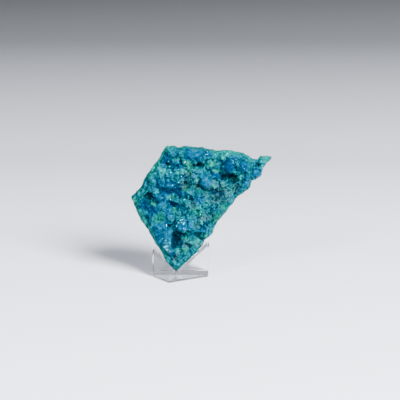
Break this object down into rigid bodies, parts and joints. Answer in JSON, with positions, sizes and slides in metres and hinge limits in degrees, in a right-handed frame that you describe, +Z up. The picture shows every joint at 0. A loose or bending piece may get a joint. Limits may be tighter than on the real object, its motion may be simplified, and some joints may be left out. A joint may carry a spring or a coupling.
{
  "type": "mineral specimen on stand",
  "caption": "Thin wedge-shaped piece of blue-green chrysocolla crust, point down, in the notch of a clear acrylic block with a rest behind and a thin pointed toe",
  "frame": {"origin": "on the stand's flat underside, midway between its sides, below the specimen", "axes": "+Z up; the specimen's crusted face looks along -Y; +X is to the right of a viewer facing that side"},
  "size_m": [0.0378, 0.016, 0.0352],
  "materials": {
    "specimen": "waxy to vitreous, lumpy and pitted",
    "stand": "clear, polished"
  },
  "bodies": {
    "root": {"specimen": "specimen", "stand": "stand"}
  },
  "joints": []
}
